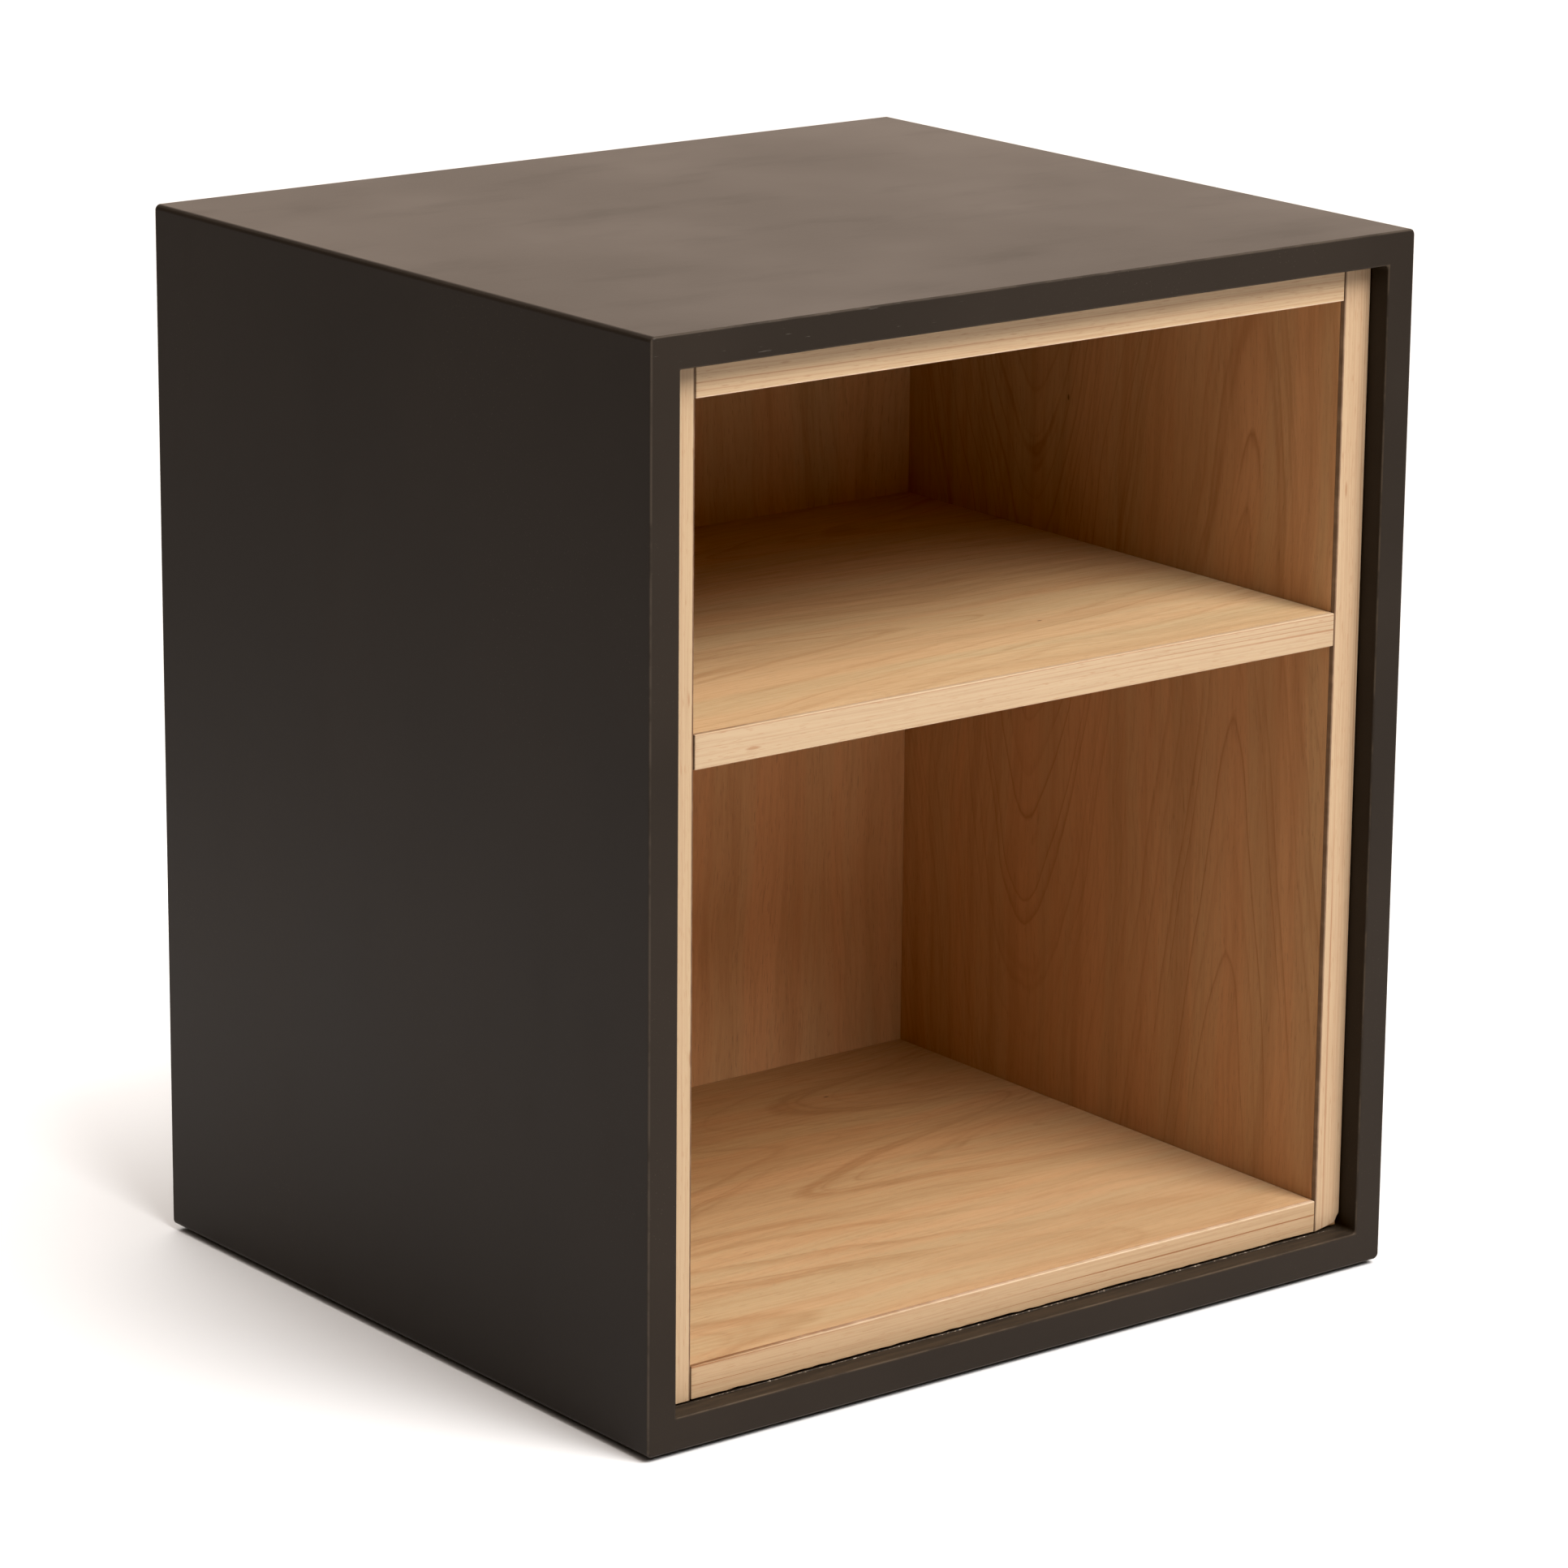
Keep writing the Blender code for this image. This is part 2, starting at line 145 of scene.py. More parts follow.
CONTRAST = ((0.12, 0.098), (0.35, 0.32), (0.70, 0.695))


# ---------------------------------------------------------------- node graphs


class Nodes:
    """A node tree, wired as its nodes are added."""

    def __init__(self, tree):
        self.tree = tree

    def node(self, kind, inputs, **settings):
        made = self.tree.nodes.new(kind)
        for key, value in settings.items():
            setattr(made, key, value)
        for socket, value in inputs.items():
            self.feed(made.inputs[socket], value)
        return made

    def feed(self, socket, value):
        if isinstance(value, bpy.types.NodeSocket):
            self.tree.links.new(value, socket)
        else:
            socket.default_value = value

    def math(self, operation, a, b=0.0, c=0.0):
        return self.node("ShaderNodeMath", {0: a, 1: b, 2: c}, operation=operation).outputs[0]

    def times(self, a, b):
        return self.math("MULTIPLY", a, b)

    def split(self, vector):
        return self.node("ShaderNodeSeparateXYZ", {0: vector}).outputs

    def join(self, x, y, z):
        return self.node("ShaderNodeCombineXYZ", {0: x, 1: y, 2: z}).outputs[0]

    def span(self, value, low, high, to_low=0.0, to_high=1.0):
        """A smooth step from one value to another."""
        return self.node(
            "ShaderNodeMapRange",
            {"Value": value, "From Min": low, "From Max": high, "To Min": to_low, "To Max": to_high},
            interpolation_type="SMOOTHSTEP",
        ).outputs["Result"]

    def mix(self, factor, a, b, blend="MIX"):
        colours = [(*c, 1.0) if isinstance(c, tuple) else c for c in (a, b)]
        made = self.node("ShaderNodeMix", {}, data_type="RGBA", blend_type=blend)
        self.feed(made.inputs[0], factor)
        self.feed(made.inputs[6], colours[0])
        self.feed(made.inputs[7], colours[1])
        return made.outputs[2]

    def ray(self, kind):
        return self.node("ShaderNodeLightPath", {}).outputs[f"Is {kind} Ray"]


class Surface(Nodes):
    """One material's nodes, with its textures in cycles a metre."""

    def __init__(self, name):
        self.material = bpy.data.materials.new(name)
        self.material.use_nodes = True
        super().__init__(self.material.node_tree)
        self.shader = self.tree.nodes["Principled BSDF"]

    def place(self):
        return self.node("ShaderNodeTexCoord", {}).outputs["Object"]

    def scaled(self, rate):
        """The place times one rate, or times a rate for each axis."""
        rates = rate if isinstance(rate, tuple) else (rate,) * 3
        return self.node("ShaderNodeVectorMath", {0: self.place(), 1: rates}, operation="MULTIPLY").outputs[0]

    def noise(self, vector, detail=2.0, roughness=0.5):
        return self.node(
            "ShaderNodeTexNoise", {"Vector": vector, "Scale": 1.0, "Detail": detail, "Roughness": roughness}
        ).outputs["Fac"]

    def stretched(self, places, rates, detail=2.0, roughness=0.5):
        """Noise with its own rate along each of those places."""
        return self.noise(self.join(*map(self.times, places, rates)), detail, roughness)

    def cells(self, vector):
        """Distance to the nearest of some scattered points."""
        return self.node("ShaderNodeTexVoronoi", {"Vector": vector, "Scale": 1.0}).outputs["Distance"]

    def ramp(self, factor, stops):
        made = self.node("ShaderNodeValToRGB", {0: factor})
        elements = made.color_ramp.elements
        while len(elements) < len(stops):
            elements.new(0.5)
        for element, (position, colour) in zip(elements, stops):
            element.position = position
            element.color = (*colour, 1.0)
        return made.outputs["Color"]

    def finish(self, colour, roughness, height=None, depth=0.0001, strength=0.5, **constants):
        """The material: its colour, roughness and bump (depth in metres), and its shader's constants."""
        self.feed(self.shader.inputs["Base Color"], colour)
        self.feed(self.shader.inputs["Roughness"], roughness)
        for name, value in constants.items():
            self.shader.inputs[name.replace("_", " ")].default_value = value
        if height is not None:
            bump = self.node("ShaderNodeBump", {"Height": height, "Strength": strength, "Distance": depth})
            self.tree.links.new(bump.outputs["Normal"], self.shader.inputs["Normal"])
        return self.material


# ---------------------------------------------------------------- woods

AXES = {"x": 0, "y": 1, "z": 2}

# Veneer's two ground shades, then what lies on them
VENEER_WARM = (0.614, 0.402, 0.232)
VENEER_STRAW = (0.566, 0.410, 0.243)
VENEER_STREAK = (0.435, 0.265, 0.138)
VENEER_LATE = (0.370, 0.195, 0.085)
VENEER_FIBRE = (0.41, 0.245, 0.122)
VENEER_HAIR = (0.72, 0.52, 0.33)
VENEER_CLOUD = (0.47, 0.275, 0.135)
VENEER_PORE = (0.20, 0.100, 0.045)
VENEER_KNOT = (0.12, 0.055, 0.022)

# One growth ring from its pale early wood to its dark late wood, as (position, darkness)
RING_SHADES = ((0.0, 0.02), (0.48, 0.06), (0.72, 0.30), (0.86, 1.0), (0.93, 0.40), (1.0, 0.02))
RING_BLEND = 1.4

# How far growth lines and fibres sway, along and across the grain, and where the painted rear shade of a level
# board starts and ends
SWAY_ALONG = 0.090
SWAY_ACROSS = 0.038
REAR_SHADE_FROM = -0.19
REAR_SHADE_TO = 0.12
NO_REAR_SHADE = (1.0, 1.0, 1.0)

# Lipping bands, as (position, colour). One is reddened by the shift times the lipping's own figure.
LIPPING_BANDS = (
    (0.28, (0.52, 0.365, 0.226)),
    (0.48, (0.57, 0.410, 0.262)),
    (0.60, (0.54, 0.372, 0.232)),
    (0.64, (0.54, 0.372, 0.232)),
    (0.69, (0.52, 0.350, 0.214)),
    (0.80, (0.55, 0.390, 0.245)),
)
FIGURED_BAND = 3
FIGURE_SHIFT = (0.14, 0.15, 0.115)
LIPPING_GRAIN = (0.39, 0.235, 0.130)
LIPPING_DASH = (0.33, 0.175, 0.085)
LIPPING_FLECK = (0.27, 0.13, 0.055)

BEECH_DARK = (0.55, 0.33, 0.17)
BEECH_PALE = (0.70, 0.47, 0.28)
WOOD_SPECULAR = 0.32

# One stack of nested arches in a veneer: where the innermost tip is, how fast the arms spread towards the far
# end of the board (or the near end where that is negative), the growth lines' spacing, how blunt the tip is,
# and how far the stack leans sideways.
Figure = namedtuple("Figure", "across along slope spacing blunt lean")

# A tint along one edge of a lipping: clear and full at two places on the axis, broken up by its patchiness,
# and coming in between two places along the grain.
EdgeLine = namedtuple("EdgeLine", "axis clear_at full_at colour strength patchy none_at all_at")
EVERYWHERE = (-1.0, -0.9)


def toned(colour, tint):
    return tuple(channel * share for channel, share in zip(colour, tint))


def grain_places(axes, along, across):
    """The places along the grain, across it and through the board."""
    first, second = AXES[along], AXES[across]
    return axes[first], axes[second], axes[3 - first - second]


def ring_ages(g, u, v, figures):
    """Each point's age in growth rings, counted from the nearest figure's tip."""
    ages = None
    for figure in figures:
        run = g.math("SUBTRACT", v, figure.along)
        side = g.math("MULTIPLY_ADD", run, -figure.lean, g.math("SUBTRACT", u, figure.across))
        arch = g.math("SQRT", g.math("MULTIPLY_ADD", side, side, figure.blunt**2))
        age = g.math("DIVIDE", g.math("MULTIPLY_ADD", run, -figure.slope, arch), figure.spacing)
        ages = age if ages is None else g.math("SMOOTH_MIN", ages, age, RING_BLEND)
    return ages


def late_wood(g, ages, u, v, seed):
    """Darkness of the growth lines: unevenly spaced, jagged, and fading with age and in places."""
    uneven = g.noise(g.join(g.times(ages, 0.85), seed + 2.0, 0.0), 2.0, 0.6)
    jagged = g.noise(g.join(g.times(v, 16.0), g.times(u, 70.0), seed + 3.0), 3.0, 0.6)
    rings = g.math("MULTIPLY_ADD", uneven, 3.2, g.math("MULTIPLY_ADD", jagged, 0.45, ages))
    late = g.ramp(g.math("FRACT", rings), [(position, (shade,) * 3) for position, shade in RING_SHADES])
    weight = g.noise(g.join(g.times(ages, 1.3), g.times(v, 5.0), seed + 6.0))
    late = g.times(late, g.span(weight, 0.34, 0.64, 0.12, 1.0))
    return g.times(late, g.span(ages, 2.0, 9.0, 1.0, 0.40))


def veneer(name, along, across, figures, seed, tint, contrast=0.40, streaks=0.3, rear=NO_REAR_SHADE):
    """Flat-cut veneer. A level board is painted deeper and redder towards its rear: painted shade."""
    g = Surface(name)
    axes = g.split(g.place())
    v, u, w = grain_places(axes, along, across)

    drift = g.noise(g.join(g.times(v, 4.0), g.math("MULTIPLY_ADD", u, 9.0, seed), seed))
    sway = g.noise(g.join(g.times(v, 5.0), g.math("MULTIPLY_ADD", u, 11.0, seed), seed + 5.0))
    u_bent = g.math("MULTIPLY_ADD", g.math("SUBTRACT", drift, 0.5), SWAY_ACROSS, u)
    v_bent = g.math("MULTIPLY_ADD", g.math("SUBTRACT", sway, 0.5), SWAY_ALONG, v)
    late = late_wood(g, ring_ages(g, u_bent, v_bent, figures), u, v, seed)

    fibres = (v, u_bent, w)
    fibre = g.stretched(fibres, (26.0, 430.0, 430.0), 4.0, 0.6)
    hair = g.stretched(fibres, (90.0, 1500.0, 1500.0))
    pores = g.span(g.stretched(fibres, (120.0, 1900.0, 1900.0), 1.0), 0.62, 0.74)
    stripes = g.noise(g.join(g.times(v, 1.6), g.times(u_bent, 42.0), seed + 11.0), 3.0, 0.6)
    bold = g.noise(g.join(g.times(v, 2.4), g.times(u_bent, 95.0), seed + 27.0))
    cloud = g.noise(g.join(g.times(v, 4.0), g.times(u, 12.0), seed + 19.0))
    knots = g.cells(g.join(g.times(v, 9.0), g.times(u, 18.0), seed))

    colour = g.mix(g.span(stripes, 0.36, 0.64), toned(VENEER_WARM, tint), toned(VENEER_STRAW, tint))
    colour = g.mix(g.span(bold, 0.46, 0.68, 0.0, 0.14 + 0.34 * streaks), colour, toned(VENEER_STREAK, tint))
    colour = g.mix(g.times(late, contrast), colour, toned(VENEER_LATE, tint))
    colour = g.mix(g.span(fibre, 0.42, 0.72, 0.0, 0.30), colour, toned(VENEER_FIBRE, tint))
    colour = g.mix(g.span(hair, 0.50, 0.70, 0.0, 0.12), colour, toned(VENEER_HAIR, tint))
    colour = g.mix(g.times(pores, 0.34), colour, VENEER_PORE)
    colour = g.mix(g.span(cloud, 0.36, 0.66, 0.0, 0.28), colour, toned(VENEER_CLOUD, tint))
    colour = g.mix(g.span(knots, 0.022, 0.010, 0.0, 0.8), colour, VENEER_KNOT)
    # Painted shade: towards the rear of a level board its colour is multiplied by the rear tint, deeper and
    # redder.
    rear_shade_share = g.span(axes[AXES["y"]], REAR_SHADE_FROM, REAR_SHADE_TO)
    colour = g.mix(rear_shade_share, colour, g.mix(1.0, colour, rear, "MULTIPLY"))

    height = g.math("MULTIPLY_ADD", pores, -0.8, g.times(fibre, 0.5))
    roughness = g.span(fibre, 0.3, 0.7, 0.42, 0.54)
    return g.finish(colour, roughness, height, 0.00008, 0.5, Specular_IOR_Level=WOOD_SPECULAR)


def lipping_bands(tint, figure):
    """The bands' colours on one lipping."""
    made = []
    for index, (position, colour) in enumerate(LIPPING_BANDS):
        if index == FIGURED_BAND:
            colour = [channel - shift * figure for channel, shift in zip(colour, FIGURE_SHIFT)]
        made.append((position, toned(colour, tint)))
    return made


def lipping_wood(name, along, across, seed, tint, figure, lines):
    """Straight-grained solid lipping: pale, with reddish bands, short dashes and lines along its edges."""
    g = Surface(name)
    axes = g.split(g.place())
    v, u, w = grain_places(axes, along, across)

    bend = g.noise(g.join(g.times(v, 3.0), seed, 0.5), 1.0)
    u_slanted = g.math("MULTIPLY_ADD", v, 0.0035, u)
    u_bent = g.math("MULTIPLY_ADD", g.math("SUBTRACT", bend, 0.5), 0.0040, u_slanted)
    across_bands = g.math("MULTIPLY_ADD", u_bent, 430.0, seed)
    bands = g.noise(g.join(g.times(v, 0.7), across_bands, g.times(w, 150.0)), 3.0, 0.60)
    fibres = (v, u_bent, w)
    grain = g.stretched(fibres, (14.0, 1000.0, 1000.0), 3.0, 0.6)
    dashes = g.span(g.stretched(fibres, (120.0, 1700.0, 1700.0), 1.0), 0.62, 0.74)
    flecks = g.span(g.cells(g.join(g.times(v, 16.0), g.times(u, 90.0), seed)), 0.10, 0.04)

    colour = g.ramp(bands, lipping_bands(tint, figure))
    colour = g.mix(g.span(grain, 0.44, 0.72, 0.0, 0.36), colour, toned(LIPPING_GRAIN, tint))
    colour = g.mix(g.times(dashes, 0.42), colour, LIPPING_DASH)
    colour = g.mix(g.times(flecks, 0.55), colour, LIPPING_FLECK)
    # Lines along the edges: painted shade, painted highlights and glue lines, as edge_lines gives them.
    for line in lines:
        near = g.span(axes[AXES[line.axis]], line.clear_at, line.full_at, 0.0, line.strength)
        near = g.times(near, g.span(v, line.none_at, line.all_at))
        gaps = g.noise(g.join(g.times(v, 55.0), seed + 40.0 * line.strength, 0.0), 3.0, 0.6)
        near = g.times(near, g.span(gaps, 0.36, 0.56, 1.0 - line.patchy, 1.0))
        colour = g.mix(near, colour, line.colour)
    height = g.math("MULTIPLY_ADD", dashes, -0.7, g.times(grain, 0.6))
    roughness = g.span(grain, 0.3, 0.7, 0.44, 0.56)
    return g.finish(colour, roughness, height, 0.00008, 0.5, Specular_IOR_Level=WOOD_SPECULAR)


def plain_wood(name):
    """Hidden beech fixings."""
    g = Surface(name)
    x, y, z = g.split(g.place())[:3]
    grain = g.noise(g.join(g.times(x, 60.0), g.times(y, 700.0), z), 3.0)
    colour = g.mix(grain, BEECH_DARK, BEECH_PALE)
    return g.finish(colour, g.span(grain, 0.3, 0.7, 0.5, 0.65), grain, 0.0001, 0.4)


# ---------------------------------------------------------------- paint, metal, plastic and glue

CASING_PAINT = (0.0280, 0.0213, 0.0162)
COVER_PAINT = (0.038, 0.028, 0.021)
PAINT_SPECKLE = (0.22, 0.18, 0.14)
PAINT_DIRT = (0.105, 0.072, 0.044)
PAINT_WORN = (0.125, 0.100, 0.078)
PAINT_RUBBED = (0.150, 0.110, 0.072)
PAINT_SCRATCH = (0.34, 0.31, 0.27)
PAINT_SPECULAR = 0.105
ZINC_DULL = (0.50, 0.47, 0.41)
ZINC_BRIGHT = (0.68, 0.67, 0.64)
PLASTIC_DARK = (0.030, 0.027, 0.025)
PLASTIC_SCUFFED = (0.075, 0.070, 0.064)
GLUE_DARK = (0.022, 0.016, 0.011)
GLUE_DUSTY = (0.16, 0.12, 0.085)
GLUE_CRUMB = (0.55, 0.50, 0.43)

# Wear, from none to all of it. Arrises wear within a distance of two faces. Scratches lie on the left half of
# the top rail's front. Dirt lies above and below the opening's bottom arris, between the sides.
ARRIS_WEAR = (0.0013, 0.0004)
OPENING_WEAR = (0.0011, 0.0003)
SCRATCHED_BELOW_TOP = (BOARD, 0.014)
SCRATCHED_ACROSS = (-0.02, -0.10)
SCRATCHED_BEHIND_FRONT = (0.0020, 0.0012)
DIRT_ABOVE = (0.0012, 0.0002)
DIRT_BELOW = (0.0016, 0.0003)
DIRT_FROM_SIDE = (BOARD - 0.001, BOARD + 0.001)


def arris_wear(g, insets, patches):
    """Patchy wear where two outer faces meet: the second smallest of the three insets is small there."""
    dx, dy, dz = insets
    to_edge = g.math("MAXIMUM", g.math("MINIMUM", dx, dy), g.math("MINIMUM", g.math("MAXIMUM", dx, dy), dz))
    return g.times(g.span(to_edge, *ARRIS_WEAR), g.span(patches, 0.34, 0.58, 0.25, 1.0))


def opening_wear(g, insets, behind_front, patches):
    """Patchy wear along the front arris of the casing's opening."""
    dx, _, dz = insets
    inner = g.math("ABSOLUTE", g.math("SUBTRACT", g.math("MINIMUM", dx, dz), BOARD))
    to_inner = g.math("MAXIMUM", inner, behind_front)
    return g.times(g.span(to_inner, *OPENING_WEAR), g.span(patches, 0.40, 0.60, 0.15, 1.0))


def rail_scratches(g, axes, low, high):
    """Short pale scratches on the front of the top rail."""
    x, y, z = axes
    rail = g.span(z, *(high[2] - below for below in SCRATCHED_BELOW_TOP))
    rail = g.times(rail, g.span(x, *SCRATCHED_ACROSS))
    region = g.times(rail, g.span(y, *(low[1] + behind for behind in SCRATCHED_BEHIND_FRONT)))
    return g.times(g.span(g.noise(g.scaled((75.0, 400.0, 1500.0))), 0.695, 0.75), region)


def ledge_dirt(g, z, dx, ledge):
    """Scuffed dirt along the bottom arris of the casing's opening."""
    near = g.span(z, *(ledge + above for above in DIRT_ABOVE))
    near = g.times(near, g.span(z, *(ledge - below for below in DIRT_BELOW)))
    near = g.times(near, g.span(dx, *DIRT_FROM_SIDE))
    scuff = g.noise(g.scaled((28.0, 700.0, 700.0)), 4.0, 0.6)
    return g.times(near, g.span(scuff, 0.40, 0.64, 0.15, 1.0))


def satin_paint(name, base, low, high):
    """Sprayed satin paint on a box: smudges, fine orange peel, worn arrises, scratches and a dirty ledge."""
    g = Surface(name)
    axes = g.split(g.place())[:3]
    insets = []
    for axis in range(3):
        half = (high[axis] - low[axis]) / 2
        offset = g.math("ABSOLUTE", g.math("SUBTRACT", axes[axis], low[axis] + half))
        insets.append(g.math("SUBTRACT", half, offset))

    cloud = g.noise(g.scaled(6.0), 3.0)
    smear = g.noise(g.scaled((9.0, 26.0, 9.0)), 4.0, 0.6)
    peel = g.noise(g.scaled(260.0))
    fine = g.noise(g.scaled(1500.0))
    speck = g.times(g.span(g.cells(g.scaled(425.0)), 0.16, 0.05), g.span(cloud, 0.52, 0.66))
    patches = g.noise(g.scaled(38.0), 4.0, 0.65)
    worn = arris_wear(g, insets, patches)
    rubbed = opening_wear(g, insets, g.math("SUBTRACT", axes[1], low[1]), patches)
    scratch = rail_scratches(g, axes, low, high)
    dirt = ledge_dirt(g, axes[2], insets[0], low[2] + BOARD)

    colour = g.mix(g.span(cloud, 0.35, 0.65), toned(base, (0.93,) * 3), toned(base, (1.08,) * 3))
    colour = g.mix(g.span(fine, 0.55, 0.75, 0.0, 0.18), colour, toned(base, (1.9,) * 3))
    colour = g.mix(g.times(speck, 0.16), colour, PAINT_SPECKLE)
    colour = g.mix(g.times(dirt, 0.32), colour, PAINT_DIRT)
    colour = g.mix(g.times(worn, 0.42), colour, PAINT_WORN)
    colour = g.mix(g.times(rubbed, 0.34), colour, PAINT_RUBBED)
    colour = g.mix(g.times(scratch, 0.33), colour, PAINT_SCRATCH)
    roughness = g.math("ADD", g.span(cloud, 0.3, 0.7, 0.37, 0.42), g.span(smear, 0.50, 0.75, 0.0, 0.03))
    roughness = g.math("MULTIPLY_ADD", dirt, 0.15, roughness)
    height = g.math("MULTIPLY_ADD", fine, 0.25, peel)
    return g.finish(colour, roughness, height, 0.00006, 0.35, Specular_IOR_Level=PAINT_SPECULAR)


def zinc(name):
    """Zinc-plated screws: dull steel with a mottled, slightly yellow passivation."""
    g = Surface(name)
    mottle = g.noise(g.scaled(700.0), 3.0, 0.6)
    colour = g.mix(mottle, ZINC_DULL, ZINC_BRIGHT)
    return g.finish(colour, g.span(mottle, 0.3, 0.7, 0.28, 0.46), mottle, 0.00004, 0.3, Metallic=0.95)


def glide_plastic(name):
    """Dark moulded glides, scuffed underneath."""
    g = Surface(name)
    scuff = g.noise(g.scaled(450.0), 4.0, 0.65)
    colour = g.mix(g.span(scuff, 0.45, 0.7), PLASTIC_DARK, PLASTIC_SCUFFED)
    return g.finish(colour, g.span(scuff, 0.3, 0.7, 0.42, 0.62), scuff, 0.00008, 0.4)


def hard_glue(name):
    """Hardened glue and dust, dark with pale crumbs."""
    g = Surface(name)
    crumb = g.noise(g.scaled(600.0), 4.0, 0.7)
    colour = g.mix(g.span(crumb, 0.44, 0.60), GLUE_DARK, GLUE_DUSTY)
    colour = g.mix(g.span(crumb, 0.60, 0.66), colour, GLUE_CRUMB)
    return g.finish(colour, g.span(crumb, 0.3, 0.7, 0.6, 0.85), crumb, 0.0003, 0.8)


# ---------------------------------------------------------------- mesh helpers

EASED_SEGMENTS = 3

# Edges turning by more than this many degrees stay sharp, on boards and on screw heads
BOARD_SHARP = 40
HEAD_SHARP = 35

# Profile points closer than this are one point. A given normal is used where its cosine with the face's
# own normal is over this.
SAME_POINT = 1e-9
NORMAL_AGREES = 0.75


def into_scene(name, data):
    obj = bpy.data.objects.new(name, data)
    bpy.context.scene.collection.objects.link(obj)
    return obj


def new_piece(name, mesh, material, slot, *nodes):
    """A visible piece that rides on the cabinet and stands for those CAD nodes."""
    obj = into_scene(name, mesh)
    mesh.materials.clear()
    mesh.materials.append(material)
    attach(obj, "root")
    if nodes:
        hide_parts(*nodes)
    return obj


def finished_mesh(made, name, sharp=None):
    """The mesh, smooth but for edges sharper than that angle in degrees."""
    for face in made.faces:
        face.smooth = True
    mesh = bpy.data.meshes.new(name)
    made.to_mesh(mesh)
    made.free()
    if sharp is not None:
        mesh.set_sharp_from_angle(angle=radians(sharp))
    return mesh


def cut_into_lengths(made, low, high, step):
    """Cuts the board square across its longest side, so that its length can be shaped."""
    long_axis = max(range(3), key=lambda axis: high[axis] - low[axis])
    normal = Vector([1.0 if axis == long_axis else 0.0 for axis in range(3)])
    length = high[long_axis] - low[long_axis]
    cuts = int(length / step)
    for k in range(1, cuts):
        at = low[long_axis] + length * k / cuts
        geometry = list(made.verts) + list(made.edges) + list(made.faces)
        bmesh.ops.bisect_plane(made, geom=geometry, plane_co=normal * at, plane_no=normal)


def board_mesh(name, low, high, arris, step=None, shape=None):
    """A squared board with eased arrises, cut into short lengths and shaped by a function of its points."""
    made = bmesh.new()
    bmesh.ops.create_cube(made, size=1.0)
    for vertex in made.verts:
        for axis in range(3):
            vertex.co[axis] = high[axis] if vertex.co[axis] > 0 else low[axis]
    bmesh.ops.bevel(
        made,
        geom=list(made.edges),
        offset=arris,
        segments=EASED_SEGMENTS,
        profile=0.5,
        affect="EDGES",
        clamp_overlap=True,
    )
    if step:
        cut_into_lengths(made, low, high, step)
    if shape:
        for vertex in made.verts:
            vertex.co = shape(vertex.co.copy())
    return finished_mesh(made, name, BOARD_SHARP)


def weighted(obj):
    """Flat faces keep flat shading right up to their eased arrises."""
    modifier = obj.modifiers.new("weighted", "WEIGHTED_NORMAL")
    modifier.keep_sharp = True


# ---------------------------------------------------------------- carried-over boards and fixings

# Each board's tint is partly painted light and shade: its veneer is toned to how brightly the board is lit,
# the walls darker and the back lighter.
WALL_TINT = (0.90, 0.775, 0.655)
BACK_TINT = (1.11, 0.97, 0.83)
SHELF_TINT = (0.89, 0.96, 0.99)
FLOOR_TINT = (0.84, 0.87, 0.885)
# Painted shade: the shelf's and the floor's colour is multiplied by these towards the rear, deeper and redder.
SHELF_REAR_SHADE = (1.06, 0.88, 0.70)
FLOOR_REAR_SHADE = (0.90, 0.75, 0.56)
RIGHT_FIGURES = (
    Figure(0.037, 0.110, 0.20, 0.0064, 0.030, 0.02),
    Figure(-0.130, 0.222, -0.14, 0.0110, 0.010, -0.02),
)
LEFT_FIGURES = (
    Figure(-0.020, 0.180, 0.18, 0.0060, 0.030, 0.03),
    Figure(0.120, 0.330, -0.16, 0.0110, 0.010, 0.0),
)
BACK_FIGURES = (Figure(0.300, 0.300, 0.12, 0.0120, 0.010, 0.0),)
SHELF_FIGURES = (
    Figure(-0.100, 0.076, -0.16, 0.0130, 0.006, 0.02),
    Figure(0.090, -0.020, 0.20, 0.0120, 0.010, 0.05),
)
FLOOR_FIGURES = (
    Figure(-0.033, 0.030, 0.27, 0.0165, 0.006, 0.12),
    Figure(-0.178, -0.020, -0.17, 0.0170, 0.034, 0.0),
    Figure(0.084, 0.055, 0.26, 0.0130, 0.020, 0.0),
)
VENEERS = {
    "liner_side_right": veneer("veneer_side_right", "z", "y", RIGHT_FIGURES, 2.1, WALL_TINT, 0.80, 0.8),
    "liner_side_left": veneer("veneer_side_left", "z", "y", LEFT_FIGURES, 5.9, WALL_TINT, 0.50, 1.0),
    "liner_back": veneer("veneer_back", "z", "x", BACK_FIGURES, 8.2, BACK_TINT, 0.40, 0.6),
    "liner_shelf": veneer("veneer_shelf", "x", "y", SHELF_FIGURES, 3.7, SHELF_TINT, 0.60, 0.5, SHELF_REAR_SHADE),
    "liner_bottom": veneer("veneer_bottom", "x", "y", FLOOR_FIGURES, 6.4, FLOOR_TINT, 0.58, 0.3, FLOOR_REAR_SHADE),
    "liner_top": veneer("veneer_top", "x", "y", SHELF_FIGURES, 12.8, FLOOR_TINT),
}
BEECH = plain_wood("beech_fixings")
ZINC = zinc("zinc_screws")
GLIDE = glide_plastic("glide_black")

# Nodes by the start of their name. A glide's nail comes after the glide, whose name it starts with.
FIXINGS = {
    "mitre_tongue": BEECH,
    "dowel": BEECH,
    "liner_back_screw": ZINC,
    "liner_screw": ZINC,
    "glide": GLIDE,
    "glide_nail": ZINC,
}

for node_name, material in VENEERS.items():
    NODES[node_name].material_slots[0].material = material
for prefix, material in FIXINGS.items():
    for node_name, obj in NODES.items():
        if node_name.startswith(prefix):
            obj.material_slots[0].material = material


# ---------------------------------------------------------------- casing


